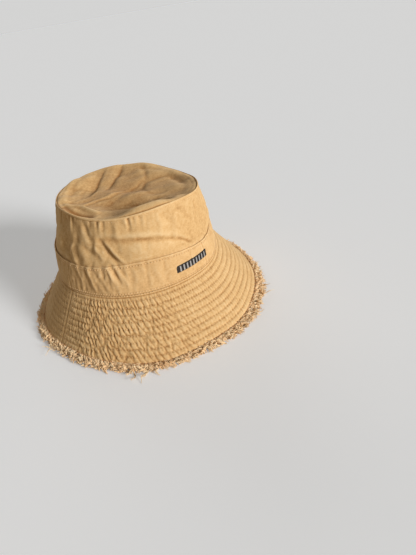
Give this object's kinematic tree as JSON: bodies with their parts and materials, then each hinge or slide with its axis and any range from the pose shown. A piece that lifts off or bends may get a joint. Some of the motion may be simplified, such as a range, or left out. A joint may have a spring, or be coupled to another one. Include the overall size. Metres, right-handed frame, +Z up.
{
  "type": "bucket hat",
  "caption": "Soft cotton bucket hat with an oval crown, a plain band with a small ribbed metal bar, a quilted sloping brim and a frayed edge.",
  "frame": {"origin": "on the table under the middle of the hat, at the height of the frayed edge's underside", "axes": "+Z up through the crown, -Y out of the front of the hat where the badge is, +X to the wearer's left"},
  "size_m": [0.2902, 0.2992, 0.1405],
  "materials": {
    "twill": "matte sandy cotton twill",
    "band_twill": "matte sandy cotton twill, on the straight grain",
    "lining_cloth": "plain-woven light cotton",
    "sweatband_tape": "ribbed cotton tape",
    "interlining": "stiff unwoven interlining",
    "frayed_yarn": "loose twisted cotton yarns",
    "badge_metal": "gunmetal with bright worn edges",
    "backing_metal": "plain steel"
  },
  "bodies": {
    "root": {"crown_tip": "twill", "crown_side_front": "twill", "crown_side_back": "twill", "hat_band_front": "band_twill", "hat_band_back": "band_twill", "badge": "badge_metal", "badge_backing": "backing_metal", "lining_tip": "lining_cloth", "lining_side_front": "lining_cloth", "lining_side_back": "lining_cloth", "sweatband": "sweatband_tape", "brim_upper_front": "twill", "brim_upper_back": "twill", "brim_stiffener_front": "interlining", "brim_stiffener_back": "interlining", "brim_under_front": "twill", "brim_under_back": "twill", "upper_fray_front": "frayed_yarn", "upper_fray_back": "frayed_yarn", "under_fray_front": "frayed_yarn", "under_fray_back": "frayed_yarn"}
  },
  "joints": []
}
